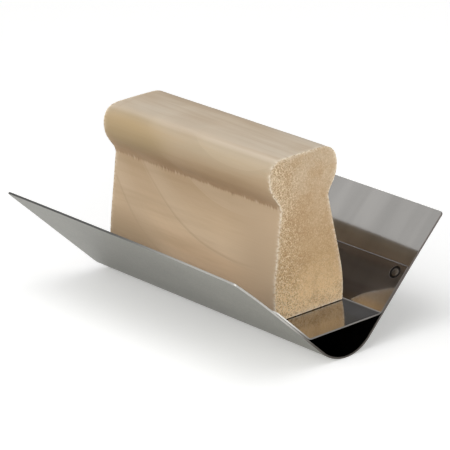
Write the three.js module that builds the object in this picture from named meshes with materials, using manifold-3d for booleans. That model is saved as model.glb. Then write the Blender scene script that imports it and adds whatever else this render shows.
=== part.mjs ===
// Inside-corner trowel: a sheet-steel blade folded into a V with a rounded bend, and a
// moulded wooden handle that is screwed to a folded sheet bracket.  The bracket's two
// flanges lie on the inner faces of the blade's wings and are spot-welded to them.
//
// Millimetres.  +X runs along the blade, +Z up through the handle, and the two wings lean
// out towards +Y and -Y.  The origin is the lowest point of the bend, at mid-length.

import * as THREE from 'three';
import { mergeVertices } from 'three/addons/utils/BufferGeometryUtils.js';
import Module from 'manifold-3d';

const manifold = await Module();
manifold.setup();

// ---- driving dimensions ----

const BLADE = {
  length: 140,
  wing: 70.5, // width of a wing, measured from the corner where the two outer faces would meet
  tilt: Math.PI / 4, // each wing's slope, so the wings stand at 90 degrees to each other
  bendRadius: 16, // outside of the bend
  sheet: 0.8,
  cornerRadius: 1.2,
};

const BRACKET = {
  length: 140,
  sheet: 0.6,
  foldRadius: 2, // upper side of the fold between the plate and a flange
  plateTop: 12.6, // height of the plate's upper face
  flangeEdge: 46, // distance of a flange's free edge from the blade's virtual corner
  cornerRadius: 2.5,
};

const HANDLE = {
  length: 100,
  height: 62,
  footHalfWidth: 15.9,
  skirtHalfWidth: 16.35,
  skirtHeight: 12,
  neckHalfWidth: 11.4,
  neckHeight: 42,
  gripHalfWidth: 16.15,
  gripHeight: 54.5,
};

const SCREW = {
  spacing: 64, // between the two screws, along the handle
  length: 22,
  crestRadius: 2,
  rootRadius: 1.45,
  pitch: 1.8,
  tipLength: 4,
  headRadius: 3.9,
  headHeight: 2.4,
  headCurve: [[0.55, 0.94], [0.88, 0.68], [1, 0.3]], // shares of the radius and of the height
  recessWidth: 1.1,
  recessSpan: 4.4,
  recessDepth: 1.3,
};

const WELD = {
  radius: 1.75,
  ringWidth: 0.85, // the ring that the welding electrode leaves round the nugget
  fromEnd: 4.4, // distance of a weld's centre from the flange's end
  fromEdge: 3.8, // distance of a weld's centre from the flange's free edge
  crown: 0.12,
  crownShoulder: [0.6, 0.7], // shares of the radius and of the crown's height
};

const CONTACT_GAP = 0.1; // between faces that touch
const SEAT_GAP = 0.3; // between the handle's foot and the plate
const SCREW_CLEARANCE = 0.3;
const OVERSHOOT = 1; // how far a cutter runs past the face that it cuts
const DOWN = -Math.PI / 2; // the angle, on a cross-section, of an arc's lowest point

// ---- derived places ----

// Height of the blade's virtual corner, where the wings' outer faces would meet.
const virtualCornerZ = BLADE.bendRadius * (1 - 1 / Math.cos(BLADE.tilt));
const flangeDepth = BLADE.sheet + CONTACT_GAP; // from a wing's outer face to its flange
const plateBottom = BRACKET.plateTop - BRACKET.sheet;
const screwXs = [SCREW.spacing / 2, -SCREW.spacing / 2];
const weldXs = [BRACKET.length / 2 - WELD.fromEnd, WELD.fromEnd - BRACKET.length / 2];
const sides = { left: -1, right: 1 };
const ends = { front: 0, rear: 1 };

// A point on the right wing's cross-section: `along` the wing from the virtual corner, and
// `depth` in from its outer face, as [y, z].
function wingPoint(along, depth) {
  const c = Math.cos(BLADE.tilt);
  const s = Math.sin(BLADE.tilt);
  return [along * c - depth * s, virtualCornerZ + along * s + depth * c];
}

// ---- materials ----

const steel = (color, roughness) => new THREE.MeshStandardMaterial({ color, roughness, metalness: 1 });
const bladeSteel = steel(0xa9a8a2, 0.32);
const bracketSteel = steel(0x9b9791, 0.24);
const weldSteel = steel(0x6f6a64, 0.45);
const screwSteel = steel(0xb8b6ae, 0.35);
const rawWood = new THREE.MeshStandardMaterial({ color: 0xc2a988, roughness: 0.82, metalness: 0 });

// ---- geometry helpers ----

function toSolid(geometry) {
  const bare = geometry.index ? geometry.toNonIndexed() : geometry.clone();
  bare.deleteAttribute('normal');
  bare.deleteAttribute('uv');
  const merged = mergeVertices(bare, 1e-5);
  return new manifold.Manifold(new manifold.Mesh({
    numProp: 3,
    vertProperties: new Float32Array(merged.attributes.position.array),
    triVerts: new Uint32Array(merged.index.array),
  }));
}

function toGeometry(solid) {
  const mesh = solid.getMesh();
  const geometry = new THREE.BufferGeometry();
  geometry.setAttribute('position', new THREE.BufferAttribute(new Float32Array(mesh.vertProperties), 3));
  geometry.setIndex(new THREE.BufferAttribute(new Uint32Array(mesh.triVerts), 1));
  geometry.computeVertexNormals();
  return geometry;
}

function cut(geometry, cutters) {
  return toGeometry(cutters.reduce((solid, cutter) => solid.subtract(toSolid(cutter)), toSolid(geometry)));
}

// Extrudes a cross-section drawn as (y, z) along X, centred on the origin.
function alongX(section, length, curveSegments = 12) {
  const geometry = new THREE.ExtrudeGeometry(section, { depth: length, bevelEnabled: false, curveSegments });
  geometry.translate(0, 0, -length / 2);
  geometry.rotateX(Math.PI / 2);
  geometry.rotateZ(Math.PI / 2);
  return geometry;
}

// Turns a shape built flat (X along the blade, Y outwards, Z up) onto a wing's outer face.
function ontoWing(geometry, side) {
  geometry.rotateX(side * BLADE.tilt);
  geometry.translate(0, 0, virtualCornerZ);
  return geometry;
}

// The waste that is cut from a flat sheet to round off its corner at (x, y).  The signs say
// which way the corner points.
function cornerCutter(x, y, signX, signY, radius) {
  const reach = radius + OVERSHOOT;
  const waste = new THREE.Shape();
  waste.absarc(0, 0, radius, Math.PI / 2, 0, true);
  waste.lineTo(reach, 0);
  waste.lineTo(reach, reach);
  waste.lineTo(0, reach);
  waste.closePath();
  const depth = 2 * (OVERSHOOT + flangeDepth);
  const geometry = new THREE.ExtrudeGeometry(waste, { depth, bevelEnabled: false, curveSegments: 8 });
  geometry.rotateZ(Math.atan2(signY, signX) - Math.PI / 4);
  return geometry.translate(x - signX * radius, y - signY * radius, -OVERSHOOT);
}

// The four cutters that round the corners of two mirrored flaps whose free edges are
// `edge` from the virtual corner.
function cornerCutters(length, edge, radius) {
  const cutters = [];
  for (const side of Object.values(sides)) {
    for (const end of [-1, 1]) {
      cutters.push(ontoWing(cornerCutter(end * length / 2, side * edge, end, side, radius), side));
    }
  }
  return cutters;
}

// ---- blade ----

function makeBlade() {
  const { tilt, bendRadius, sheet, wing } = BLADE;
  const [outerY, outerZ] = wingPoint(wing, 0);
  const [innerY, innerZ] = wingPoint(wing, sheet);
  const section = new THREE.Shape();
  section.moveTo(-innerY, innerZ);
  section.lineTo(-outerY, outerZ);
  section.absarc(0, bendRadius, bendRadius, DOWN - tilt, DOWN + tilt, false);
  section.lineTo(outerY, outerZ);
  section.lineTo(innerY, innerZ);
  section.absarc(0, bendRadius, bendRadius - sheet, DOWN + tilt, DOWN - tilt, true);
  section.closePath();
  const geometry = alongX(section, BLADE.length, 28);
  return cut(geometry, cornerCutters(BLADE.length, wing, BLADE.cornerRadius));
}

// ---- handle bracket ----

function makeHandleBracket() {
  const { sheet, foldRadius, flangeEdge } = BRACKET;
  const { tilt } = BLADE;
  const outerRadius = foldRadius + sheet;
  const [edgeLowY, edgeLowZ] = wingPoint(flangeEdge, flangeDepth);
  const [edgeTopY, edgeTopZ] = wingPoint(flangeEdge, flangeDepth + sheet);
  // The fold's centre is one outer radius from the plate's underside and from the flange's
  // lower face.
  const centreZ = plateBottom + outerRadius;
  const centreY = (centreZ - virtualCornerZ) / Math.tan(tilt) - (flangeDepth + outerRadius) / Math.sin(tilt);
  const section = new THREE.Shape();
  section.moveTo(-edgeTopY, edgeTopZ);
  section.lineTo(-edgeLowY, edgeLowZ);
  section.absarc(-centreY, centreZ, outerRadius, DOWN - tilt, DOWN, false);
  section.absarc(centreY, centreZ, outerRadius, DOWN, DOWN + tilt, false);
  section.lineTo(edgeLowY, edgeLowZ);
  section.lineTo(edgeTopY, edgeTopZ);
  section.absarc(centreY, centreZ, foldRadius, DOWN + tilt, DOWN, true);
  section.absarc(-centreY, centreZ, foldRadius, DOWN, DOWN - tilt, true);
  section.closePath();
  const cutters = cornerCutters(BRACKET.length, flangeEdge, BRACKET.cornerRadius);
  for (const x of screwXs) {
    const hole = upright(SCREW.crestRadius + SCREW_CLEARANCE, sheet + 2 * OVERSHOOT, 32);
    cutters.push(hole.translate(x, 0, plateBottom - OVERSHOOT));
  }
  for (const side of Object.values(sides)) {
    for (const x of weldXs) {
      const hole = upright(WELD.radius + WELD.ringWidth, sheet + 2 * OVERSHOOT, 28);
      hole.translate(x, side * (flangeEdge - WELD.fromEdge), flangeDepth - OVERSHOOT);
      cutters.push(ontoWing(hole, side));
    }
  }
  return cut(alongX(section, BRACKET.length, 6), cutters);
}

// An upright cylinder that stands on Z = 0.
function upright(radius, height, segments) {
  const geometry = new THREE.CylinderGeometry(radius, radius, height, segments);
  geometry.rotateX(Math.PI / 2);
  geometry.translate(0, 0, height / 2);
  return geometry;
}

// ---- wooden handle ----

// Half of the moulding's outline runs from the foot, up the waisted side and round the grip
// to the crown; the other half is its mirror image.
function handleSection() {
  const h = HANDLE;
  const halfCurves = [
    // [first control point, second control point, end], each as [half width, height]
    [[16.6, 3.5], [16.75, 8], [h.skirtHalfWidth, h.skirtHeight]],
    [[15.9, 17], [12.2, 36.5], [h.neckHalfWidth, h.neckHeight]],
    [[11, 45.5], [h.gripHalfWidth, 47.5], [h.gripHalfWidth, h.gripHeight]],
    [[h.gripHalfWidth, 59], [13.8, h.height - 0.3], [8.5, h.height - 0.1]],
    [[5, h.height], [2, h.height], [0, h.height]],
  ];
  const outline = new THREE.Shape();
  outline.moveTo(-h.footHalfWidth, 0);
  outline.lineTo(h.footHalfWidth, 0);
  for (const [a, b, end] of halfCurves) outline.bezierCurveTo(...a, ...b, ...end);
  for (let i = halfCurves.length - 1; i >= 0; i -= 1) {
    const [a, b] = halfCurves[i];
    const end = i > 0 ? halfCurves[i - 1][2] : [h.footHalfWidth, 0];
    outline.bezierCurveTo(-b[0], b[1], -a[0], a[1], -end[0], end[1]);
  }
  return outline;
}

function makeHandle() {
  const body = alongX(handleSection(), HANDLE.length, 9);
  const boreRadius = SCREW.crestRadius + SCREW_CLEARANCE;
  const boreDepth = SCREW.length - BRACKET.sheet - CONTACT_GAP - SEAT_GAP + OVERSHOOT;
  const bores = screwXs.map((x) => {
    const bore = upright(boreRadius, boreDepth + OVERSHOOT, 24);
    return bore.translate(x, 0, -OVERSHOOT);
  });
  return cut(body, bores);
}

// ---- pan-head wood screw ----

// The screw points up.  Z = 0 is the seat under its head, and the head hangs below.
function makeScrew() {
  const s = SCREW;
  const headCurve = s.headCurve.map(([r, z]) => [r * s.headRadius, -z * s.headHeight]);
  const profile = [[0, -s.headHeight], ...headCurve, [s.headRadius, 0], [s.rootRadius, 0]];
  const turns = Math.floor((s.length - s.tipLength) / s.pitch);
  for (let i = 0; i < turns; i += 1) {
    const z = (i + 0.5) * s.pitch;
    profile.push([s.rootRadius, z], [s.crestRadius, z + s.pitch * 0.3], [s.rootRadius, z + s.pitch * 0.6]);
  }
  profile.push([s.rootRadius, s.length - s.tipLength], [0, s.length]);
  const points = profile.map(([r, z]) => new THREE.Vector2(r, z));
  const body = new THREE.LatheGeometry(points, 20);
  body.rotateX(Math.PI / 2);
  const slots = [0, Math.PI / 2].map((turn) => {
    const slot = new THREE.BoxGeometry(s.recessSpan, s.recessWidth, s.recessDepth + OVERSHOOT);
    slot.translate(0, 0, -s.headHeight + (s.recessDepth - OVERSHOOT) / 2);
    return slot.rotateZ(turn);
  });
  return cut(body, slots);
}

// ---- spot weld ----

// A nugget of fused metal, flat below and slightly crowned, which fills the flange's
// thickness and stands on the wing.
function makeWeld(x, side) {
  const { radius, crown, crownShoulder } = WELD;
  const height = BRACKET.sheet;
  const points = [
    [0, 0],
    [radius, 0],
    [radius, height],
    [radius * crownShoulder[0], height + crown * crownShoulder[1]],
    [0, height + crown],
  ].map(([r, z]) => new THREE.Vector2(r, z));
  const nugget = new THREE.LatheGeometry(points, 24);
  nugget.rotateX(Math.PI / 2);
  nugget.translate(x, side * (BRACKET.flangeEdge - WELD.fromEdge), flangeDepth);
  return ontoWing(nugget, side);
}

// ---- assembly ----

const trowel = new THREE.Group();

function addPart(name, geometry, material, z = 0, x = 0) {
  const mesh = new THREE.Mesh(geometry, material);
  mesh.name = name;
  mesh.position.set(x, 0, z);
  trowel.add(mesh);
}

addPart('blade', makeBlade(), bladeSteel);
addPart('handle_bracket', makeHandleBracket(), bracketSteel);
addPart('wooden_handle', makeHandle(), rawWood, BRACKET.plateTop + SEAT_GAP);
for (const [end, index] of Object.entries(ends)) {
  addPart(`handle_screw_${end}`, makeScrew(), screwSteel, plateBottom - CONTACT_GAP, screwXs[index]);
  for (const [name, side] of Object.entries(sides)) {
    addPart(`spot_weld_${end}_${name}`, makeWeld(weldXs[index], side), weldSteel);
  }
}

export default trowel;
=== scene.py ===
"""Inside-corner trowel: the looks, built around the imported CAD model.

Metres, in the CAD's frame: +X along the blade, +Z up through the handle, the origin at the
lowest point of the blade's bend.
"""

import math

import bmesh
import bpy
import numpy as np
from mathutils import Matrix, Vector, noise


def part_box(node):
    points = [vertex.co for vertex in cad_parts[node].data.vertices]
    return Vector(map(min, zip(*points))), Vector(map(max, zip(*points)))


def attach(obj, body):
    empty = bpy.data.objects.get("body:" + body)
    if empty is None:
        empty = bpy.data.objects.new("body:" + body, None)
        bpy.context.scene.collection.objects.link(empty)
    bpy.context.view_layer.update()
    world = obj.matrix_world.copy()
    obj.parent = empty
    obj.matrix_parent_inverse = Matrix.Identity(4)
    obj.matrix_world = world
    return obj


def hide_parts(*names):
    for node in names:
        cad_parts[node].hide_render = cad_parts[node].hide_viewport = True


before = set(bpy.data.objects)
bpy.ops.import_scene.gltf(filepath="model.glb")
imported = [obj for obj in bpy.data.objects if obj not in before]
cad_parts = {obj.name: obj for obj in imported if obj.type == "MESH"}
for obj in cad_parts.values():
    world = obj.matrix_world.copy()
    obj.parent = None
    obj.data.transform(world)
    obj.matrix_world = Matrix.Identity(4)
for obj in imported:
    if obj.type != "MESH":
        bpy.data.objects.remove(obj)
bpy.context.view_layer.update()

# ---- sizes that the CAD doesn't state as a box ----

MM = 0.001
TILT = math.pi / 4  # slope of each wing
BEND_RADIUS = 16 * MM
BLADE_SHEET = 0.8 * MM
BRACKET_SHEET = 0.6 * MM
FOLD_RADIUS = 2.0 * MM  # upper side of the bracket's folds
CONTACT_GAP = 0.1 * MM
BLADE_CORNER = 1.2 * MM
FLANGE_CORNER = 2.5 * MM
WELD_RING = 0.85 * MM
SCREW_CLEARANCE = 0.3 * MM
BORE_SPARE = 0.5 * MM  # depth of a bore past its screw's tip

# ---- places read from the frame ----

blade_low, blade_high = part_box("blade")
bracket_low, bracket_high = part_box("handle_bracket")
handle_low, handle_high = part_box("wooden_handle")

VIRTUAL_CORNER_Z = BEND_RADIUS * (1 - 1 / math.cos(TILT))
BLADE_LENGTH = blade_high.x - blade_low.x
WING_WIDTH = blade_high.y / math.cos(TILT)
BRACKET_LENGTH = bracket_high.x - bracket_low.x
FLANGE_DEPTH = BLADE_SHEET + CONTACT_GAP
FLANGE_EDGE = bracket_high.y / math.cos(TILT) + FLANGE_DEPTH * math.tan(TILT)
PLATE_BOTTOM = bracket_low.z
HANDLE_LENGTH = handle_high.x - handle_low.x
HANDLE_HEIGHT = handle_high.z - handle_low.z


def centre_of(node):
    low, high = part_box(node)
    return (low + high) / 2


def radius_of(node):
    """The radius of a round node, from its size along X."""
    low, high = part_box(node)
    return (high.x - low.x) / 2


# ---- mesh helpers ----

SMOOTH_ANGLE = math.radians(32)  # edges sharper than this aren't shaded smooth
SHEET_SMOOTH_ANGLE = math.radians(20)
THREAD_SMOOTH_ANGLE = math.radians(30)
SCREW_SMOOTH_ANGLE = math.radians(35)
HANDLE_SMOOTH_ANGLE = math.radians(40)
WELD_SMOOTH_ANGLE = math.radians(60)


def make_object(name, bm, smooth_angle=SMOOTH_ANGLE):
    """A new object from a bmesh, smooth but for the edges sharper than smooth_angle."""
    mesh = bpy.data.meshes.new(name)
    bm.normal_update()
    bm.to_mesh(mesh)
    bm.free()
    mesh.polygons.foreach_set("use_smooth", [True] * len(mesh.polygons))
    mesh.set_sharp_from_angle(angle=smooth_angle)
    piece = bpy.data.objects.new(name, mesh)
    bpy.context.scene.collection.objects.link(piece)
    return piece


def new_face(bm, *corners):
    """A face through the corners, where neighbours may be one and the same vertex."""
    bm.faces.new(list(dict.fromkeys(corners)))


def apply_modifiers(piece):
    """Replaces the piece's mesh by what its modifiers make of it."""
    depsgraph = bpy.context.evaluated_depsgraph_get()
    depsgraph.update()
    made = bpy.data.meshes.new_from_object(piece.evaluated_get(depsgraph))
    old = piece.data
    piece.modifiers.clear()
    piece.data = made
    bpy.data.meshes.remove(old)


def subtract(piece, cutters):
    """Cuts the cutter objects out of the piece, and removes them."""
    for cutter in cutters:
        modifier = piece.modifiers.new("cut", "BOOLEAN")
        modifier.operation = "DIFFERENCE"
        modifier.solver = "EXACT"
        modifier.object = cutter
    apply_modifiers(piece)
    for cutter in cutters:
        bpy.data.objects.remove(cutter)


def make_cylinder(radius, low, high, centre, segments=48):
    """A plain cutter along Z, from height low to height high, at centre (x, y)."""
    bm = bmesh.new()
    place = Matrix.Translation((centre[0], centre[1], (low + high) / 2))
    bmesh.ops.create_cone(
        bm, cap_ends=True, segments=segments, radius1=radius, radius2=radius,
        depth=high - low, matrix=place,
    )
    return make_object("cutter", bm)


def lathe(bm, profile, segments):
    """Turns (radius, height) points round Z.  The first and last are on the axis."""
    turns = [2 * math.pi * i / segments for i in range(segments)]
    rings = []
    for radius, height in profile:
        angles = turns if radius > 0 else [0]
        rings.append(
            [bm.verts.new((radius * math.cos(t), radius * math.sin(t), height)) for t in angles]
        )
    for low, high in zip(rings, rings[1:]):
        for i in range(segments):
            j = (i + 1) % segments
            new_face(
                bm, low[i % len(low)], low[j % len(low)], high[j % len(high)], high[i % len(high)]
            )
    bmesh.ops.recalc_face_normals(bm, faces=bm.faces[:])


def move_vertices(mesh, move):
    """Sets each vertex to move(x, y, z), given as arrays."""
    co = np.empty(len(mesh.vertices) * 3, np.float32)
    mesh.vertices.foreach_get("co", co)
    co = co.reshape(-1, 3).astype(float)
    moved = np.stack(move(co[:, 0], co[:, 1], co[:, 2]), axis=1)
    mesh.vertices.foreach_set("co", moved.astype(np.float32).ravel())
    mesh.update()


def noise_at(points):
    """Smooth noise from about -1 to 1 at each point, the same on every run."""
    return np.array([noise.noise(point) for point in points])


def put_attribute(mesh, name, values, domain="POINT"):
    attribute = mesh.attributes.new(name, "FLOAT", domain)
    attribute.data.foreach_set("value", np.asarray(values, np.float32))


def finish_piece(piece, material, node):
    """Gives the piece its material, and lets it stand for its CAD node."""
    piece.data.materials.clear()
    piece.data.materials.append(material)
    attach(piece, "root")
    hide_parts(node)


# ---- folded sheets ----

BLADE_RIM = 0.12 * MM  # rounding of the cut edges
BRACKET_RIM = 0.14 * MM
RIM_SHARP = math.radians(40)

BEND_HALF = BEND_RADIUS * TILT  # half of the bend's outer arc
RIPPLE = 0.12 * MM  # unevenness of the wings near their free edges
RIPPLE_LENGTH = 60 * MM
LEFT_SPRING = 0.7 * MM  # how far the wings' free edges stand out at the front
RIGHT_SPRING = 0.35 * MM

# The bracket's fold: its arc's radius on the outer (lower) face, and where it starts.
FOLD_OUTER = FOLD_RADIUS + BRACKET_SHEET
FOLD_CENTRE_Z = PLATE_BOTTOM + FOLD_OUTER
FOLD_CENTRE_Y = (FOLD_CENTRE_Z - VIRTUAL_CORNER_Z) / math.tan(TILT) - (
    FLANGE_DEPTH + FOLD_OUTER
) / math.sin(TILT)
FOLD_ARC = FOLD_OUTER * TILT
FOLD_END_ALONG = (
    FOLD_CENTRE_Y * math.cos(TILT) + (FOLD_CENTRE_Z - VIRTUAL_CORNER_Z) * math.sin(TILT)
)
DROOP_REACH = 0.5 * MM  # width of the sheared edge's rounding on the bracket's inner face
DROOP = 0.035 * MM


def flat_sheet(name, length, rows, thickness, corner, columns=40):
    """A flat slab along X with rounded corners.

    rows are the distances across the sheet, from edge to edge, where its grid has lines.
    Z runs from 0 at the outer face to the sheet's thickness.
    """
    bm = bmesh.new()
    xs = np.linspace(-length / 2, length / 2, columns + 1)
    grid = [[bm.verts.new((x, y, 0)) for x in xs] for y in rows]
    for low, high in zip(grid, grid[1:]):
        for i in range(columns):
            new_face(bm, low[i], low[i + 1], high[i + 1], high[i])
    corners = [grid[0][0], grid[0][-1], grid[-1][0], grid[-1][-1]]
    bmesh.ops.bevel(bm, geom=corners, offset=corner, segments=7, profile=0.5, affect="VERTICES")
    top = bmesh.ops.extrude_face_region(bm, geom=bm.faces[:])["geom"]
    raised = [v for v in top if isinstance(v, bmesh.types.BMVert)]
    bmesh.ops.translate(bm, verts=raised, vec=(0, 0, thickness))
    bmesh.ops.recalc_face_normals(bm, faces=bm.faces[:])
    return make_object(name, bm)


def soften_rims(sheet, width):
    modifier = sheet.modifiers.new("rims", "BEVEL")
    modifier.width = width
    modifier.segments = 2
    modifier.limit_method = "ANGLE"
    modifier.angle_limit = RIM_SHARP
    apply_modifiers(sheet)


def mark_sheet_faces(mesh):
    """Tells a flat sheet's cut edges and outer face apart for its material."""
    up = np.array([polygon.normal.z for polygon in mesh.polygons])
    put_attribute(mesh, "cut_edge", np.abs(up) < 0.95, "FACE")
    put_attribute(mesh, "outer_face", up < -0.9, "FACE")


def graded(start, end, count):
    return list(np.linspace(start, end, count + 1))


def blade_bow(x, along, side):
    """How far a wing stands off its true plane, since no sheet is quite flat."""
    free = np.clip((along - FLANGE_EDGE) / (WING_WIDTH - FLANGE_EDGE), 0, 1)
    front = np.clip(x / (BLADE_LENGTH / 2), 0, 1) ** 2
    places = np.stack([x / RIPPLE_LENGTH, along / RIPPLE_LENGTH, 3.0 * side], axis=1)
    sprung = np.where(side < 0, LEFT_SPRING * free**2, RIGHT_SPRING * free**1.3)
    return RIPPLE * free**2 * noise_at(places) + sprung * front


def fold_blade(x, across, depth):
    """Folds the flat blade into its V.  across runs from -Y to +Y along the outer face."""
    side = np.sign(across)
    angle = np.clip(across, -BEND_HALF, BEND_HALF) / BEND_RADIUS
    past = np.maximum(np.abs(across) - BEND_HALF, 0)
    depth = depth - blade_bow(x, past + BEND_RADIUS, side)
    y = (BEND_RADIUS - depth) * np.sin(angle) + side * past * math.cos(TILT)
    z = BEND_RADIUS - (BEND_RADIUS - depth) * np.cos(angle) + past * math.sin(TILT)
    return x, y, z


def make_blade(material):
    edge = BEND_HALF + WING_WIDTH - BEND_RADIUS
    rows = graded(-edge, -BEND_HALF, 20)
    rows += graded(-BEND_HALF, BEND_HALF, 36)[1:]
    rows += graded(BEND_HALF, edge, 20)[1:]
    blade = flat_sheet("trowel_blade", BLADE_LENGTH, rows, BLADE_SHEET, BLADE_CORNER)
    soften_rims(blade, BLADE_RIM)
    mark_sheet_faces(blade.data)
    move_vertices(blade.data, fold_blade)
    blade.data.set_sharp_from_angle(angle=SHEET_SMOOTH_ANGLE)
    finish_piece(blade, material, "blade")


def fold_bracket(x, across, depth):
    """Folds the flat bracket: a level plate, two folds and two flanges on the wings."""
    side = np.sign(across)
    reach = np.abs(across)
    angle = np.clip(reach - FOLD_CENTRE_Y, 0, FOLD_ARC) / FOLD_OUTER
    past = np.maximum(reach - FOLD_CENTRE_Y - FOLD_ARC, 0)
    y = np.minimum(reach, FOLD_CENTRE_Y) + (FOLD_OUTER - depth) * np.sin(angle)
    y = y + past * math.cos(TILT)
    z = FOLD_CENTRE_Z - (FOLD_OUTER - depth) * np.cos(angle) + past * math.sin(TILT)
    return x, side * y, z


def flat_across(along):
    """Where a point `along` a wing lies across the flat bracket."""
    return FOLD_CENTRE_Y + FOLD_ARC + along - FOLD_END_ALONG


def droop_edges(x, across, depth):
    """Rounds the inner face down at the flanges' free edges, as shearing leaves a sheet."""
    reach = (np.abs(across) - flat_across(FLANGE_EDGE)) / DROOP_REACH + 1
    return x, across, depth * (1 - DROOP / BRACKET_SHEET * np.clip(reach, 0, 1) ** 2)


def weld_place(node):
    """A weld's place in the flat bracket, as (x, across)."""
    centre = centre_of(node)
    along = abs(centre.y) * math.cos(TILT) + (centre.z - VIRTUAL_CORNER_Z) * math.sin(TILT)
    return centre.x, math.copysign(flat_across(along), centre.y)


def bracket_rows():
    """The flat bracket's grid lines, closest in the folds and at the free edges."""
    edge = flat_across(FLANGE_EDGE)
    fold_end = FOLD_CENTRE_Y + FOLD_ARC
    half = graded(0, FOLD_CENTRE_Y, 6) + graded(FOLD_CENTRE_Y, fold_end, 6)[1:]
    half += graded(fold_end, edge - DROOP_REACH, 6)[1:]
    half += graded(edge - DROOP_REACH, edge, 4)[1:]
    return [-y for y in half[:0:-1]] + half


def make_bracket(material, weld_nodes, screw_nodes):
    bracket = flat_sheet(
        "bracket_sheet", BRACKET_LENGTH, bracket_rows(), BRACKET_SHEET, FLANGE_CORNER, columns=24
    )
    holes = [(radius_of(node) + WELD_RING, weld_place(node)) for node in weld_nodes]
    holes += [(bore_radius(node), centre_of(node).xy) for node in screw_nodes]
    below, above = -MM, BRACKET_SHEET + MM
    subtract(bracket, [make_cylinder(radius, below, above, place) for radius, place in holes])
    soften_rims(bracket, BRACKET_RIM)
    mark_sheet_faces(bracket.data)
    move_vertices(bracket.data, droop_edges)
    move_vertices(bracket.data, fold_bracket)
    bracket.data.set_sharp_from_angle(angle=SHEET_SMOOTH_ANGLE)
    finish_piece(bracket, material, "handle_bracket")


# ---- spot welds ----


def weld_profile(nugget, rim):
    """An electrode's print: a ring-shaped dip with the low dome of the nugget inside it."""
    top = BRACKET_SHEET
    return [
        (0, 0),
        (rim - 0.1 * MM, 0),
        (rim, 0.1 * MM),
        (rim, top - 0.12 * MM),
        (rim - 0.12 * MM, top - 0.18 * MM),
        (nugget + 0.1 * MM, top - 0.26 * MM),
        (nugget - 0.1 * MM, top - 0.14 * MM),
        (nugget * 0.8, top - 0.02 * MM),
        (nugget * 0.45, top + 0.05 * MM),
        (0, top + 0.07 * MM),
    ]


def make_weld(node, material):
    """Made flat in its hole in the bracket, and then folded with the bracket."""
    nugget = radius_of(node)
    rim = nugget + WELD_RING - 0.03 * MM  # a hair less than the hole
    bm = bmesh.new()
    lathe(bm, weld_profile(nugget, rim), segments=64)
    weld = make_object(node + "_mark", bm, WELD_SMOOTH_ANGLE)
    radii = [math.hypot(v.co.x, v.co.y) / rim for v in weld.data.vertices]
    put_attribute(weld.data, "radius", radii)
    centre_x, across = weld_place(node)

    def place(x, y, z):
        return fold_bracket(x + centre_x, y + across, z)

    move_vertices(weld.data, place)
    finish_piece(weld, material, node)


# ---- wooden handle ----

NECK_SHARE = 42.5 / 62  # height of the neck, as a share of the handle's
HUB_SHARE = 0.65  # height of the point that the section's outline is sorted round
HANDLE_COLUMNS = 300
HANDLE_ROWS = 200
CAP_COLUMNS = 80  # cells across an end face
END_CROWDING = 1.25  # how much closer the columns are near the sawn ends

TICK_SIZE = 0.36 * MM  # width of a torn fibre along the neck
TEAR_REACH = 0.9 * MM
TEAR_HEIGHT = 0.16 * MM
# Where the painted shade above the neck starts, and how fast it fades up the cove.
COVE_SHADE_START = 0.5 * MM
COVE_SHADE_FADE = 2.8 * MM
SANDING_RIPPLE = 0.1 * MM
ARRIS_REACH = 0.6 * MM
ARRIS_NICKS = 0.4 * MM
ARRIS_WEAR = 0.1 * MM
SAW_MARKS = 0.09 * MM
SAWN_INSET = 0.1 * MM  # keeps the saw marks inside the handle's length


def half_outline():
    """The handle's section in the CAD, from the foot's +Y corner up to the crown."""
    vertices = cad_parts["wooden_handle"].data.vertices
    end = handle_high.x - 0.01 * MM
    points = {(round(v.co.y, 6), round(v.co.z, 6)) for v in vertices if v.co.x > end}
    hub_z = handle_low.z + HUB_SHARE * HANDLE_HEIGHT
    half = [p for p in points if p[0] > -1e-6]
    half.sort(key=lambda p: math.atan2(p[1] - hub_z, p[0]))
    return np.array(half)


def resample(points, count, steps=12):
    """count + 1 points at even steps along a smooth curve through the points."""
    padded = np.vstack([2 * points[0] - points[1], points, 2 * points[-1] - points[-2]])
    fine = []
    for a, b, c, d in zip(padded, padded[1:], padded[2:], padded[3:]):
        for t in np.linspace(0, 1, steps, endpoint=False):
            bend = t * (2 * a - 5 * b + 4 * c - d + t * (3 * (b - c) + d - a))
            fine.append(b + 0.5 * t * (c - a + bend))
    fine = np.array(fine + [points[-1]])
    run = np.concatenate([[0], np.cumsum(np.hypot(*np.diff(fine, axis=0).T))])
    even = np.linspace(0, run[-1], count + 1)
    return np.stack([np.interp(even, run, fine[:, k]) for k in (0, 1)], axis=1)


def handle_columns():
    """Places along the handle, closer together near its two sawn ends."""
    share = np.linspace(-1, 1, HANDLE_COLUMNS + 1)
    eased = np.sign(share) * (1 - (1 - np.abs(share)) ** END_CROWDING)
    return eased * HANDLE_LENGTH / 2


def handle_slice(bm, x, outline, at_end):
    """The vertices of the handle's section at x, by (row, column).

    An end face and the foot's row have every column, and other rows only the outer two.
    """
    across = np.linspace(-1, 1, CAP_COLUMNS + 1)
    crown = len(outline) - 1
    cells = {}
    for j, (half, z) in enumerate(outline):
        for k in range(CAP_COLUMNS + 1) if at_end or j == 0 else (0, CAP_COLUMNS):
            if j == crown and k > 0:
                cells[j, k] = cells[j, 0]
            else:
                cells[j, k] = bm.verts.new((x, half * across[k] if j < crown else 0, z))
    return cells


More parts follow.
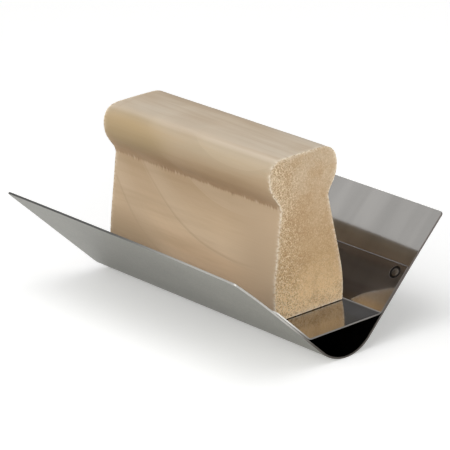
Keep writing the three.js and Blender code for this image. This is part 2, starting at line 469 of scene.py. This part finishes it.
def build_handle_mesh(outline):
    """A closed grid: two sides, a foot, and two end faces that share their outlines.

    The order of a cell's corners decides how the bores' cut splits it, so it matters.
    """
    bm = bmesh.new()
    xs = handle_columns()
    slices = [handle_slice(bm, x, outline, x in (xs[0], xs[-1])) for x in xs]
    rows = range(len(outline) - 1)
    far = CAP_COLUMNS
    for a, b in zip(slices, slices[1:]):
        for j in rows:
            new_face(bm, a[j + 1, 0], b[j + 1, 0], b[j, 0], a[j, 0])
            new_face(bm, a[j, far], b[j, far], b[j + 1, far], a[j + 1, far])
        for k in range(CAP_COLUMNS):
            new_face(bm, a[0, k], a[0, k + 1], b[0, k + 1], b[0, k])
    for cells, way in ((slices[0], -1), (slices[-1], 1)):
        for j in rows:
            for k in range(CAP_COLUMNS):
                corners = (j, k), (j, k + 1), (j + 1, k + 1), (j + 1, k)
                new_face(bm, *[cells[corner] for corner in corners[::way]])
    bmesh.ops.recalc_face_normals(bm, faces=bm.faces[:])
    return bm


def speckle(co, size, seed):
    """Smooth noise over points, with the given grain size for each axis."""
    return noise_at(co / np.array(size) + seed)


def neck_marks(co):
    """What the moulding cutter left along the neck, and painted shade, as (tear, shade) per
    vertex.

    tear is 1 where a fibre stands up, -1 where it is dug out and 0 away from the neck.
    shade is painted shade under the bulge: 1 just above the neck, fading out up the cove.
    """
    neck_z = handle_low.z + NECK_SHARE * HANDLE_HEIGHT
    level = co * (1, 1, 0)
    ticks = speckle(level, (TICK_SIZE, 20 * MM, 1), 3)
    patchy = 0.7 + 0.7 * speckle(level, (9 * MM, 30 * MM, 1), 5)
    wander = MM * (0.3 * speckle(co * (1, 0, 0), (6 * MM, 1, 1), 7) + 0.45 * ticks)
    above = co[:, 2] - neck_z - wander
    tear = np.clip(2.5 * ticks * patchy * np.exp(-((above / TEAR_REACH) ** 2)), -1, 1)
    start = np.clip(above / COVE_SHADE_START + 0.5, 0, 1)
    strength = np.clip(0.85 + 0.6 * speckle(level, (14 * MM, 30 * MM, 1), 9), 0, 1)
    return tear, strength * start * np.exp(-np.maximum(above, 0) / COVE_SHADE_FADE)


def arris_closeness(co, outline):
    """1 on the handle's two sharp end outlines, fading over ARRIS_REACH away from them."""
    from_end = HANDLE_LENGTH / 2 - np.abs(co[:, 0])
    from_side = np.interp(co[:, 2], outline[:, 1], outline[:, 0]) - np.abs(co[:, 1])
    from_foot = co[:, 2] - handle_low.z
    from_crown = handle_high.z - co[:, 2]
    inset = np.minimum(from_side, np.minimum(from_foot, from_crown))
    return np.exp(-np.maximum(from_end, inset) / ARRIS_REACH)


def roughen_handle(handle, outline):
    """Sanding ripples, torn fibres along the neck and ragged arrises at the sawn ends."""
    mesh = handle.data
    co = np.array([v.co for v in mesh.vertices])
    normals = np.array([v.normal for v in mesh.vertices])
    on_end = HANDLE_LENGTH / 2 - np.abs(co[:, 0]) < 1e-6
    tear, cove_shade = (np.where(on_end, 0, marks) for marks in neck_marks(co))
    ripple = speckle(co, (30 * MM, 12 * MM, 12 * MM), 0)
    ragged = speckle(co, (1.6 * MM, 0.7 * MM, 0.7 * MM), 11)
    sawn = speckle(co, (9 * MM, 0.8 * MM, 0.8 * MM), 17)
    edge = arris_closeness(co, outline)
    frayed = edge * (ARRIS_NICKS * ragged - ARRIS_WEAR)
    push = SANDING_RIPPLE * ripple + TEAR_HEIGHT * tear + frayed
    shift = normals * np.where(on_end, 0, push)[:, None]
    shift[:, 0] += np.where(on_end, np.sign(co[:, 0]) * (SAW_MARKS * sawn - SAWN_INSET), 0)
    mesh.vertices.foreach_set("co", (co + shift).astype(np.float32).ravel())
    mesh.update()
    put_attribute(mesh, "tear", tear)
    # painted shade just above the neck, under the bulge's overhang
    put_attribute(mesh, "cove_shade", cove_shade)
    put_attribute(mesh, "arris", edge * np.clip(0.75 + 2.0 * ragged, 0, 1))


def make_handle(material, screw_nodes):
    outline = resample(half_outline(), HANDLE_ROWS)
    handle = make_object("handle_wood", build_handle_mesh(outline), HANDLE_SMOOTH_ANGLE)
    roughen_handle(handle, outline)
    bores = []
    for node in screw_nodes:
        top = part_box(node)[1].z + BORE_SPARE
        bores.append(make_cylinder(bore_radius(node), PLATE_BOTTOM, top, centre_of(node).xy, 32))
    subtract(handle, bores)
    finish_piece(handle, material, "wooden_handle")


# ---- screws ----

CREST_SHARE = 2 / 3.9  # the thread's radii, as shares of the head's
ROOT_SHARE = 1.45 / 3.9
HEAD_HEIGHT = 2.4 * MM
POINT_LENGTH = 4 * MM
RECESS = (4.4 * MM, 1.1 * MM, 2.6 * MM)  # each arm of the cross: length, width and height
PITCH = 1.8 * MM
RIDGE_FOOT = 0.24 * PITCH  # half of the thread's width at the core
THREAD_START = 1.2 * MM
BARE_TIP = 0.6 * MM
BARE_NECK = 0.6 * MM
THREAD_STEPS = 28  # steps to a turn


def bore_radius(node):
    return radius_of(node) * CREST_SHARE + SCREW_CLEARANCE


def screw_profile(head, root, length):
    """A pan head below height 0, and a shank that narrows to a point above it."""
    return [
        (0, -HEAD_HEIGHT),
        (head * 0.3, -HEAD_HEIGHT * 0.99),
        (head * 0.6, -HEAD_HEIGHT * 0.93),
        (head * 0.85, -HEAD_HEIGHT * 0.74),
        (head * 0.97, -HEAD_HEIGHT * 0.45),
        (head, -HEAD_HEIGHT * 0.2),
        (head * 0.98, 0),
        (root * 1.15, 0),
        (root, BARE_NECK),
        (root, length - POINT_LENGTH),
        (root * 0.55, length - POINT_LENGTH * 0.4),
        (0, length),
    ]


def make_recess_arm(turn):
    """A cutter for one arm of the cross recess in the head."""
    bm = bmesh.new()
    size = Matrix.Diagonal((*RECESS, 1))
    place = Matrix.Rotation(turn, 4, "Z") @ Matrix.Translation((0, 0, -HEAD_HEIGHT)) @ size
    bmesh.ops.create_cube(bm, size=1, matrix=place)
    return make_object("cutter", bm)


def make_thread(root, crest, length):
    """A helical ridge that fades out at the point."""
    turns = (length - THREAD_START - BARE_TIP) / PITCH
    core = 0.9 * root
    bm = bmesh.new()
    previous = None
    for i in range(int(turns * THREAD_STEPS) + 1):
        angle = 2 * math.pi * i / THREAD_STEPS
        z = THREAD_START + PITCH * i / THREAD_STEPS
        taper = min(1.0, (length - z) / POINT_LENGTH, i / THREAD_STEPS + 0.05)
        inner = core * min(1.0, (length - z) / POINT_LENGTH + 0.1)
        outer = inner + (crest - core) * taper
        corners = [(inner, -RIDGE_FOOT), (outer, 0.0), (inner, RIDGE_FOOT)]
        cos, sin = math.cos(angle), math.sin(angle)
        ring = [bm.verts.new((r * cos, r * sin, z + dz)) for r, dz in corners]
        if previous:
            for k in range(3):
                following = (k + 1) % 3
                new_face(bm, previous[k], previous[following], ring[following], ring[k])
        else:
            new_face(bm, *ring)
        previous = ring
    new_face(bm, *previous[::-1])
    bmesh.ops.recalc_face_normals(bm, faces=bm.faces[:])
    return make_object("thread", bm, THREAD_SMOOTH_ANGLE)


def make_screw(node, material):
    """A pan-head wood screw with a helical thread and a cross recess, pointing up."""
    head = radius_of(node)
    root = head * ROOT_SHARE
    low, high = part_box(node)
    length = high.z - low.z - HEAD_HEIGHT
    bm = bmesh.new()
    lathe(bm, screw_profile(head, root, length), segments=48)
    screw = make_object(node + "_body", bm, SCREW_SMOOTH_ANGLE)
    subtract(screw, [make_recess_arm(turn) for turn in (0, math.pi / 2)])
    thread = make_thread(root, head * CREST_SHARE, length)
    thread.parent = screw
    screw.location = (*centre_of(node).xy, low.z + HEAD_HEIGHT)
    finish_piece(screw, material, node)
    thread.name = node + "_thread"
    thread.data.materials.append(material)


# ---- node trees ----


class Nodes:
    """A short way to write the node tree of a material or a world."""

    def __init__(self, name, world=False):
        self.block = (bpy.data.worlds if world else bpy.data.materials).new(name)
        self.block.use_nodes = True
        self.tree = self.block.node_tree
        self.tree.nodes.clear()
        self.shader = self.add("ShaderNodeBackground" if world else "ShaderNodeBsdfPrincipled")
        output = self.add("ShaderNodeOutputWorld" if world else "ShaderNodeOutputMaterial")
        self.link(self.shader.outputs[0], output.inputs["Surface"])
        self.where = self.add("ShaderNodeTexCoord").outputs["Object"]

    def add(self, kind, **settings):
        node = self.tree.nodes.new(kind)
        for key, value in settings.items():
            setattr(node, key, value)
        return node

    def link(self, source, target):
        """Gives the target socket another node's output, or a plain value."""
        if hasattr(source, "is_output"):
            self.tree.links.new(source, target)
        else:
            target.default_value = source

    def shade(self, socket, source):
        """Gives one of the shader's sockets another node's output, or a plain value."""
        self.link(source, self.shader.inputs[socket])

    def scaled(self, scale, location=(0, 0, 0)):
        """Object coordinates times a scale for each axis, per metre, plus a location."""
        node = self.add("ShaderNodeMapping")
        self.link(self.where, node.inputs["Vector"])
        node.inputs["Scale"].default_value = scale
        node.inputs["Location"].default_value = location
        return node.outputs[0]

    def split(self, vector):
        node = self.add("ShaderNodeSeparateXYZ")
        self.link(vector, node.inputs[0])
        return node.outputs

    def length(self, vector):
        node = self.add("ShaderNodeVectorMath", operation="LENGTH")
        self.link(vector, node.inputs[0])
        return node.outputs["Value"]

    def noise(self, vector, detail, roughness=0.5, distortion=0.0):
        node = self.add("ShaderNodeTexNoise")
        self.link(vector, node.inputs["Vector"])
        node.inputs["Scale"].default_value = 1.0
        node.inputs["Detail"].default_value = detail
        node.inputs["Roughness"].default_value = roughness
        node.inputs["Distortion"].default_value = distortion
        return node.outputs["Fac"]

    def cells(self, vector):
        """A random value from 0 to 1 for each cell of the vector's space."""
        node = self.add("ShaderNodeTexVoronoi")
        self.link(vector, node.inputs["Vector"])
        node.inputs["Scale"].default_value = 1.0
        return self.split(node.outputs["Color"])["X"]

    def math(self, operation, a, b=0.0, clamp=False):
        node = self.add("ShaderNodeMath", operation=operation, use_clamp=clamp)
        self.link(a, node.inputs[0])
        self.link(b, node.inputs[1])
        return node.outputs[0]

    def ramp(self, value, low, high, to_low=0.0, to_high=1.0, kind="SMOOTHSTEP"):
        """Value from low..high to to_low..to_high, clamped."""
        node = self.add("ShaderNodeMapRange", interpolation_type=kind)
        self.link(value, node.inputs["Value"])
        limits = {"From Min": low, "From Max": high, "To Min": to_low, "To Max": to_high}
        for socket, number in limits.items():
            node.inputs[socket].default_value = number
        return node.outputs[0]

    def by_height(self, tones):
        """Colours by height: tones are (metres, colour) from the lowest up."""
        low, high = tones[0][0], tones[-1][0]
        node = self.add("ShaderNodeValToRGB")
        height = self.ramp(self.split(self.where)["Z"], low, high, kind="LINEAR")
        self.link(height, node.inputs["Fac"])
        stops = node.color_ramp.elements
        while len(stops) < len(tones):
            stops.new(1.0)
        for stop, (z, colour) in zip(stops, tones):
            stop.position = (z - low) / (high - low)
            stop.color = colour
        return node.outputs["Color"]

    def mix(self, factor, a, b):
        """Colour a where the factor is 0, and colour b where it is 1."""
        node = self.add("ShaderNodeMix", data_type="RGBA")
        self.link(factor, node.inputs["Factor"])
        self.link(a, node.inputs[6])
        self.link(b, node.inputs[7])
        return node.outputs[2]

    def attribute(self, name):
        return self.add("ShaderNodeAttribute", attribute_name=name).outputs["Fac"]

    def bump(self, height, strength, distance):
        node = self.add("ShaderNodeBump")
        node.inputs["Strength"].default_value = strength
        node.inputs["Distance"].default_value = distance
        self.link(height, node.inputs["Height"])
        self.shade("Normal", node.outputs[0])


def rgb(r, g, b):
    return (r, g, b, 1.0)


# ---- steel ----

BLACK = rgb(0, 0, 0)
BLADE_TONE = rgb(0.445, 0.433, 0.415)
PLATE_TONE = rgb(0.45, 0.42, 0.39)
FLANGE_TONE = rgb(0.345, 0.355, 0.395)
SATIN_TONES = (rgb(0.335, 0.33, 0.28), rgb(0.255, 0.25, 0.215))
STAIN = rgb(0.12, 0.115, 0.09)
BLADE_EDGE = rgb(0.50, 0.49, 0.46)
BRACKET_EDGE = rgb(0.80, 0.78, 0.74)
RIGHT_EDGE = rgb(0.15, 0.13, 0.12)  # cut edges on the +Y side
FAR_EDGE = rgb(0.11, 0.11, 0.105)  # cut edges towards -X
# painted shade: the cut edges are darkened near the bend, for the dark that they reflect there
BEND_EDGE_SHADE = rgb(0.10, 0.09, 0.08)  # the dark cut edges near the bend
OUTER_ROUGHNESS = 0.3
CUT_EDGE_ROUGHNESS = 0.35


def inner_face_colour(n, tones, streaks):
    """Bright steel in faint streaks, with tones for the plate's level and for above it."""
    tone = n.mix(n.ramp(n.split(n.where)["Z"], 13.2 * MM, 16 * MM), *tones)
    return n.mix(n.ramp(streaks, 0.35, 0.65), n.mix(0.16, tone, BLACK), tone)


def outer_face_colour(n, grains, front):
    """Satin steel with faint stains, a little darker towards -X."""
    stains = n.noise(n.scaled((35, 60, 60)), detail=4, roughness=0.65)
    satin = n.mix(n.ramp(grains, 0.3, 0.7), *SATIN_TONES)
    stained = n.mix(n.ramp(stains, 0.4, 0.7, 0.0, 0.14), satin, STAIN)
    return n.mix(front, n.mix(0.2, stained, BLACK), stained)


def cut_edge_colour(n, edge, front):
    """The edge colour at the front of the -Y side, and darker everywhere else."""
    place = n.split(n.where)
    near = n.mix(n.ramp(place["Y"], 10 * MM, 22 * MM), edge, RIGHT_EDGE)
    rim = n.mix(front, FAR_EDGE, near)
    # painted shade: the cut edges turn darker low down, near the bend
    return n.mix(n.ramp(place["Z"], 8 * MM, 24 * MM), BEND_EDGE_SHADE, rim)


def steel_material(name, tones, film, edge, burr, roughness, grazing):
    """Rolled stainless sheet: mirror-like inside, satin on the outer face and cut edges.

    tones are the inner face's colours at the plate's level and up the wings, and edge is
    the cut edges' colour.  film and burr are how much of the light is scattered by dust
    above the plate and by the cut edges' burrs.  grazing is the tint of the reflection at
    a grazing angle.
    """
    n = Nodes(name)
    outer = n.attribute("outer_face")
    cut_edge = n.attribute("cut_edge")
    place = n.split(n.where)
    front = n.ramp(place["X"], -15 * MM, 55 * MM)
    streaks = n.noise(n.scaled((90, 9, 9)), detail=2)
    grains = n.noise(n.scaled((1300, 1300, 1300)), detail=2)
    inner_colour = inner_face_colour(n, tones, streaks)
    colour = n.mix(outer, inner_colour, outer_face_colour(n, grains, front))
    n.shade("Base Color", n.mix(cut_edge, colour, cut_edge_colour(n, edge, front)))
    dusty = n.ramp(place["Z"], 12 * MM, 20 * MM, 0.0, film)
    scattering = n.math("MAXIMUM", dusty, n.math("MULTIPLY", cut_edge, burr))
    n.shade("Metallic", n.math("SUBTRACT", 1.0, scattering))
    n.shade("Specular Tint", rgb(grazing, grazing, grazing))
    mottled = n.ramp(streaks, 0.3, 0.7, roughness * 0.9, roughness * 1.15)
    rough = n.math("MAXIMUM", mottled, n.math("MULTIPLY", outer, OUTER_ROUGHNESS))
    rougher = n.math("MAXIMUM", rough, n.math("MULTIPLY", cut_edge, CUT_EDGE_ROUGHNESS))
    n.shade("Roughness", rougher)
    relief = n.math("MULTIPLY", grains, n.ramp(outer, 0.0, 1.0, 0.2, 1.0))
    n.bump(relief, 0.15, 0.02 * MM)
    return n.block


def weld_material():
    """Heat-darkened steel, blackest in the electrode's ring."""
    n = Nodes("weld_mark_steel")
    radius = n.attribute("radius")
    ring = n.math("MULTIPLY", n.ramp(radius, 0.5, 0.68), n.ramp(radius, 0.95, 1.02, 1.0, 0.6))
    mottle = n.noise(n.scaled((1500, 1500, 1500)), detail=3)
    centre = n.mix(n.ramp(mottle, 0.35, 0.7), rgb(0.09, 0.08, 0.07), rgb(0.17, 0.15, 0.13))
    n.shade("Base Color", n.mix(ring, centre, rgb(0.02, 0.018, 0.016)))
    n.shade("Metallic", 1.0)
    n.shade("Roughness", n.ramp(mottle, 0.2, 0.8, 0.28, 0.45))
    n.bump(mottle, 0.2, 0.05 * MM)
    return n.block


def screw_material():
    """Bright zinc plating with a faint yellow-blue passivation."""
    n = Nodes("zinc_plated_screw")
    clouds = n.noise(n.scaled((400, 400, 400)), detail=3)
    colour = n.mix(n.ramp(clouds, 0.3, 0.7), rgb(0.46, 0.46, 0.47), rgb(0.60, 0.57, 0.48))
    n.shade("Base Color", colour)
    n.shade("Metallic", 1.0)
    n.shade("Roughness", n.ramp(clouds, 0.2, 0.8, 0.25, 0.4))
    n.bump(clouds, 0.15, 0.03 * MM)
    return n.block


# ---- wood ----

RING_SPACING = 18.1 * MM
FINE_RING_SPACING = 2.3 * MM
RING_WARP = 5 * MM
PITH = Vector((0.028, 0.03, 0.115))  # where the rings on the handle's -Y side are centred
RING_SQUEEZE = Vector((1, 0.5, 1))  # the rings are ovals, twice as deep in Y

# Tones by height, partly the wood's own and partly painted light and shade: painted shade under
# the neck and over the bulge, and a painted highlight that makes the crown pale.
LONG_GRAIN_TONES_AND_PAINTED_LIGHT = (
    (13 * MM, rgb(0.72, 0.52, 0.34)),
    (28 * MM, rgb(0.70, 0.50, 0.315)),
    (35 * MM, rgb(0.73, 0.545, 0.355)),
    (42 * MM, rgb(0.69, 0.515, 0.335)),
    (53 * MM, rgb(0.50, 0.355, 0.215)),
    (57 * MM, rgb(0.58, 0.41, 0.245)),
    (60 * MM, rgb(0.54, 0.375, 0.22)),
    (66 * MM, rgb(0.485, 0.362, 0.23)),
    (71 * MM, rgb(0.43, 0.343, 0.232)),
    (73.4 * MM, rgb(0.45, 0.375, 0.275)),
    (74.3 * MM, rgb(0.67, 0.58, 0.465)),
)
# Patches of the moulded faces, as (centre, reach, colour). The first two have a tone of their
# own; the last is painted shade on the near end of the -Y side.
PATCHES = (
    ((-0.034, -0.014, 0.067), (0.034, 0.014, 0.010), rgb(0.42, 0.305, 0.165)),
    ((-0.040, -0.016, 0.018), (0.035, 0.02, 0.024), rgb(0.53, 0.385, 0.24)),
    # painted shade: darkens the near end of the -Y side, which the camera-side panel lights more
    ((0.052, -0.016, 0.040), (0.036, 0.02, 0.032), rgb(0.57, 0.42, 0.272)),
)
CLOUD_COLOUR = rgb(0.50, 0.355, 0.22)
PALE_RING_COLOUR = rgb(0.74, 0.60, 0.43)
RING_COLOUR = rgb(0.40, 0.25, 0.13)
STREAK_COLOUR = rgb(0.47, 0.33, 0.20)
BAND_COLOUR = rgb(0.42, 0.28, 0.15)
# painted shade just above the neck, under the bulge's overhang
COVE_SHADE_COLOUR = rgb(0.41, 0.26, 0.145)

# Tones by height on the sawn ends. The pale foot is partly the end grain's own cream and partly
# painted light, brightening the shade that falls low on the end face.
END_GRAIN_TONES_AND_PAINTED_LIGHT = (
    (14 * MM, rgb(0.98, 0.71, 0.41)),
    (20 * MM, rgb(0.86, 0.60, 0.325)),
    (34 * MM, rgb(0.56, 0.37, 0.188)),
    (54 * MM, rgb(0.56, 0.395, 0.235)),
    (66 * MM, rgb(0.60, 0.455, 0.30)),
    (73 * MM, rgb(0.56, 0.425, 0.28)),
)
PORES_PER_METRE = (2000, 3600)  # two sizes of speckle
END_CLOUD_COLOUR = rgb(0.46, 0.28, 0.13)
END_RING_COLOUR = rgb(0.45, 0.29, 0.15)
PORE_COLOUR = rgb(0.34, 0.20, 0.08)
FIBRE_COLOUR = rgb(0.92, 0.77, 0.53)

DUG_OUT_COLOUR = rgb(0.30, 0.18, 0.09)
TORN_UP_COLOUR = rgb(0.75, 0.60, 0.43)
ARRIS_COLOUR = rgb(0.94, 0.84, 0.68)


def growth_rings(n):
    """The wood's rings, as (line, pale): a thin dark line closes each broad pale band."""
    reach = n.length(n.scaled(RING_SQUEEZE, location=-RING_SQUEEZE * PITH))
    warp = n.noise(n.scaled((16, 30, 22)), detail=2)
    distance = n.math("ADD", reach, n.math("MULTIPLY", warp, RING_WARP))
    share = n.math("FRACT", n.math("DIVIDE", distance, RING_SPACING))
    line = n.math("MULTIPLY", n.ramp(share, 0.90, 0.97), n.ramp(share, 0.97, 1.0, 1.0, 0.0))
    marked = n.math("MULTIPLY", line, n.ramp(distance, 70 * MM, 88 * MM, 0.15, 1.0))
    fine = n.math("SINE", n.math("DIVIDE", distance, FINE_RING_SPACING / math.tau))
    lines = n.math("ADD", marked, n.math("MULTIPLY", fine, 0.08), clamp=True)
    return lines, n.ramp(share, 0.35, 0.9)


def soft_spot(n, centre, reach):
    """1 at the centre, fading to 0 at the given reach along each axis."""
    scale = tuple(1 / r for r in reach)
    offset = tuple(-c / r for c, r in zip(centre, reach))
    return n.ramp(n.length(n.scaled(scale, location=offset)), 0.35, 1.0, 1.0, 0.0)


def long_grain_colour(n, rings, pale):
    """The moulded faces: faint ring lines, fibres along X, and painted light and shade by height.
    """
    clouds = n.noise(n.scaled((18, 30, 45)), detail=3, distortion=0.4)
    streaks = n.noise(n.scaled((14, 420, 420)), detail=3)
    bands = n.noise(n.scaled((10, 120, 150)), detail=3, roughness=0.6, distortion=0.3)
    grip = n.ramp(n.split(n.where)["Z"], 57 * MM, 66 * MM)

    def layer(colour, mask, on_side, on_grip, tint):
        """Tints the colour by the mask, with a strength for the sides and for the grip."""
        strength = n.ramp(grip, 0.0, 1.0, on_side, on_grip)
        return n.mix(n.math("MULTIPLY", mask, strength), colour, tint)

    # tones by height, with painted shade on the bulge and a painted highlight on the crown
    toned = n.by_height(LONG_GRAIN_TONES_AND_PAINTED_LIGHT)
    colour = n.mix(n.ramp(clouds, 0.35, 0.7, 0.0, 0.35), toned, CLOUD_COLOUR)
    colour = layer(colour, pale, 0.25, 0.1, PALE_RING_COLOUR)
    colour = layer(colour, rings, 0.30, 0.1, RING_COLOUR)
    colour = layer(colour, n.ramp(streaks, 0.45, 0.8), 0.18, 0.34, STREAK_COLOUR)
    colour = layer(colour, n.ramp(bands, 0.48, 0.7), 0.28, 0.42, BAND_COLOUR)
    for centre, reach, tint in PATCHES:
        colour = n.mix(soft_spot(n, centre, reach), colour, tint)
    # painted shade just above the neck, under the bulge's overhang
    return n.mix(n.attribute("cove_shade"), colour, COVE_SHADE_COLOUR)


def end_grain_colour(n, rings):
    """The sawn ends: deeper in colour, speckled with torn fibres and open pores."""
    place = n.split(n.where)
    clouds = n.noise(n.scaled((110, 110, 110)), detail=4, roughness=0.65)
    # tones by height, with painted light that makes the foot paler
    toned = n.by_height(END_GRAIN_TONES_AND_PAINTED_LIGHT)
    cloudy = n.mix(n.ramp(clouds, 0.42, 0.66, 0.0, 0.5), toned, END_CLOUD_COLOUR)
    colour = n.mix(n.math("MULTIPLY", rings, 0.2), cloudy, END_RING_COLOUR)
    left = n.ramp(place["Y"], -12 * MM, 2 * MM, 0.85, 0.25)
    foot = n.ramp(place["Z"], 16 * MM, 26 * MM, 0.55, 0.0)
    rough = n.math("MAXIMUM", left, foot)
    for count in PORES_PER_METRE:
        grains = n.cells(n.scaled((300, count, count)))
        pores = n.math("MULTIPLY", rough, n.ramp(grains, 0.1, 0.35, 0.68, 0.0))
        fibres = n.math("MULTIPLY", rough, n.ramp(grains, 0.68, 0.95, 0.0, 0.62))
        colour = n.mix(fibres, n.mix(pores, colour, PORE_COLOUR), FIBRE_COLOUR)
    return colour


def wood_material():
    """Raw pale hardwood, told apart into long grain and end grain by the face's direction."""
    n = Nodes("raw_moulded_wood")
    rings, pale = growth_rings(n)
    fibres = n.noise(n.scaled((60, 1700, 1700)), detail=4, roughness=0.6)
    grains = n.noise(n.scaled((400, 1500, 1500)), detail=2, roughness=0.7)
    facing = n.split(n.add("ShaderNodeNewGeometry").outputs["Normal"])
    end_grain = n.ramp(n.math("ABSOLUTE", facing["X"]), 0.55, 0.85)
    wood = n.mix(end_grain, long_grain_colour(n, rings, pale), end_grain_colour(n, rings))
    tear = n.attribute("tear")
    dug = n.mix(n.ramp(tear, -1.0, 0.0, 0.55, 0.0), wood, DUG_OUT_COLOUR)
    torn = n.mix(n.ramp(tear, 0.0, 1.0, 0.0, 0.6), dug, TORN_UP_COLOUR)
    n.shade("Base Color", n.mix(n.attribute("arris"), torn, ARRIS_COLOUR))
    n.shade("Roughness", n.ramp(fibres, 0.2, 0.8, 0.6, 0.8))
    n.shade("Specular IOR Level", 0.4)
    depth = n.mix(end_grain, n.math("MULTIPLY", fibres, 0.35), grains)
    n.bump(depth, 0.6, 0.25 * MM)
    return n.block


# ---- stage, lights and camera ----

FLOOR_GLOW = 0.3  # the floor is a light table, which keeps shadows pale
FLOOR_DROP = 0.05 * MM  # keeps the floor clear of the bend that rests on it

WORLD_GLOW = Vector((-0.45, -0.50, 0.74))  # direction of the studio's brightest part
WORLD_DIM = 0.07  # brightness of the dim side
PANELS = {  # place and radiance of each square softbox
    "overhead_panel": ((0.3, -0.5, 1.8), 2.2),
    "camera_side_panel": ((2.0, -0.7, 0.9), 2.6),
    "left_panel": ((-0.3, -1.8, 1.3), 0.9),
}
PANEL_SIZE = 1.2
PANEL_TARGET = Vector((0, 0, 0.03))

CAMERA_AZIMUTH = math.radians(52.06)
CAMERA_ELEVATION = math.radians(20.23)
CAMERA_ROLL = math.radians(-3.22)
CAMERA_DISTANCE = 1.1557
CAMERA_AIM = Vector((-0.77, 1.99, 33.35)) * MM
CAMERA_LENS = 242.7  # millimetres, on a 36 mm sensor


def make_floor():
    bm = bmesh.new()
    bmesh.ops.create_grid(bm, x_segments=1, y_segments=1, size=4.0)
    floor = make_object("studio_floor", bm)
    n = Nodes("pale_floor")
    n.shade("Base Color", rgb(0.9, 0.9, 0.895))
    n.shade("Roughness", 0.9)
    n.shade("Specular IOR Level", 0.1)
    n.shade("Emission Color", rgb(1.0, 1.0, 1.0))
    n.shade("Emission Strength", FLOOR_GLOW)
    floor.data.materials.append(n.block)
    floor.location.z = -FLOOR_DROP


def make_panel_light(name, location, radiance):
    """A square softbox that faces the trowel and has the given brightness."""
    data = bpy.data.lights.new(name, "AREA")
    data.shape = "SQUARE"
    data.size = PANEL_SIZE
    data.energy = radiance * math.pi * PANEL_SIZE**2
    light = bpy.data.objects.new(name, data)
    light.location = location
    aim = PANEL_TARGET - Vector(location)
    light.rotation_mode = "QUATERNION"
    light.rotation_quaternion = aim.to_track_quat("-Z", "Y")
    bpy.context.scene.collection.objects.link(light)


def make_world():
    """A studio that glows from high on the -Y side and is dim on the +Y side."""
    n = Nodes("studio", world=True)
    direction = n.add("ShaderNodeTexCoord").outputs["Generated"]
    glow = n.add("ShaderNodeVectorMath", operation="DOT_PRODUCT")
    n.link(direction, glow.inputs[0])
    n.link(WORLD_GLOW, glow.inputs[1])
    height = n.ramp(glow.outputs["Value"], -0.25, 0.85, 0.45, 1.0)
    side = n.ramp(n.split(direction)["Y"], -0.28, 0.68, 1.0, 0.0)
    n.shade("Strength", n.math("ADD", n.math("MULTIPLY", side, height), WORLD_DIM))
    bpy.context.scene.world = n.block


def make_lights():
    make_world()
    for name, (location, radiance) in PANELS.items():
        make_panel_light(name, location, radiance)
    bpy.context.scene.view_settings.view_transform = "Standard"


def make_camera():
    a, e, r = CAMERA_AZIMUTH, CAMERA_ELEVATION, CAMERA_ROLL
    back = Vector((math.sin(a) * math.cos(e), -math.cos(a) * math.cos(e), math.sin(e)))
    level = Vector((math.cos(a), math.sin(a), 0))
    right = math.cos(r) * level + math.sin(r) * back.cross(level)
    up = back.cross(right)
    data = bpy.data.cameras.new("camera")
    data.lens = CAMERA_LENS
    data.sensor_width = 36
    data.clip_start = 0.05
    data.clip_end = 20
    camera = bpy.data.objects.new("camera", data)
    place = Matrix((right, up, back)).transposed().to_4x4()
    place.translation = CAMERA_AIM + back * CAMERA_DISTANCE
    camera.matrix_world = place
    bpy.context.scene.collection.objects.link(camera)
    bpy.context.scene.camera = camera


# ---- everything ----

make_camera()
make_lights()
make_floor()

blade_steel = steel_material(
    "satin_blade_steel",
    tones=(BLADE_TONE, BLADE_TONE),
    film=0.06,
    edge=BLADE_EDGE,
    burr=0.0,
    roughness=0.07,
    grazing=0.75,
)
bracket_steel = steel_material(
    "bright_bracket_steel",
    tones=(PLATE_TONE, FLANGE_TONE),
    film=0.018,
    edge=BRACKET_EDGE,
    burr=0.3,
    roughness=0.09,
    grazing=1.0,
)
weld_steel = weld_material()
screw_steel = screw_material()
raw_wood = wood_material()

weld_nodes = sorted(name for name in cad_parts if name.startswith("spot_weld"))
screw_nodes = sorted(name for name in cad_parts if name.startswith("handle_screw"))

make_blade(blade_steel)
make_bracket(bracket_steel, weld_nodes, screw_nodes)
make_handle(raw_wood, screw_nodes)
for node in weld_nodes:
    make_weld(node, weld_steel)
for node in screw_nodes:
    make_screw(node, screw_steel)
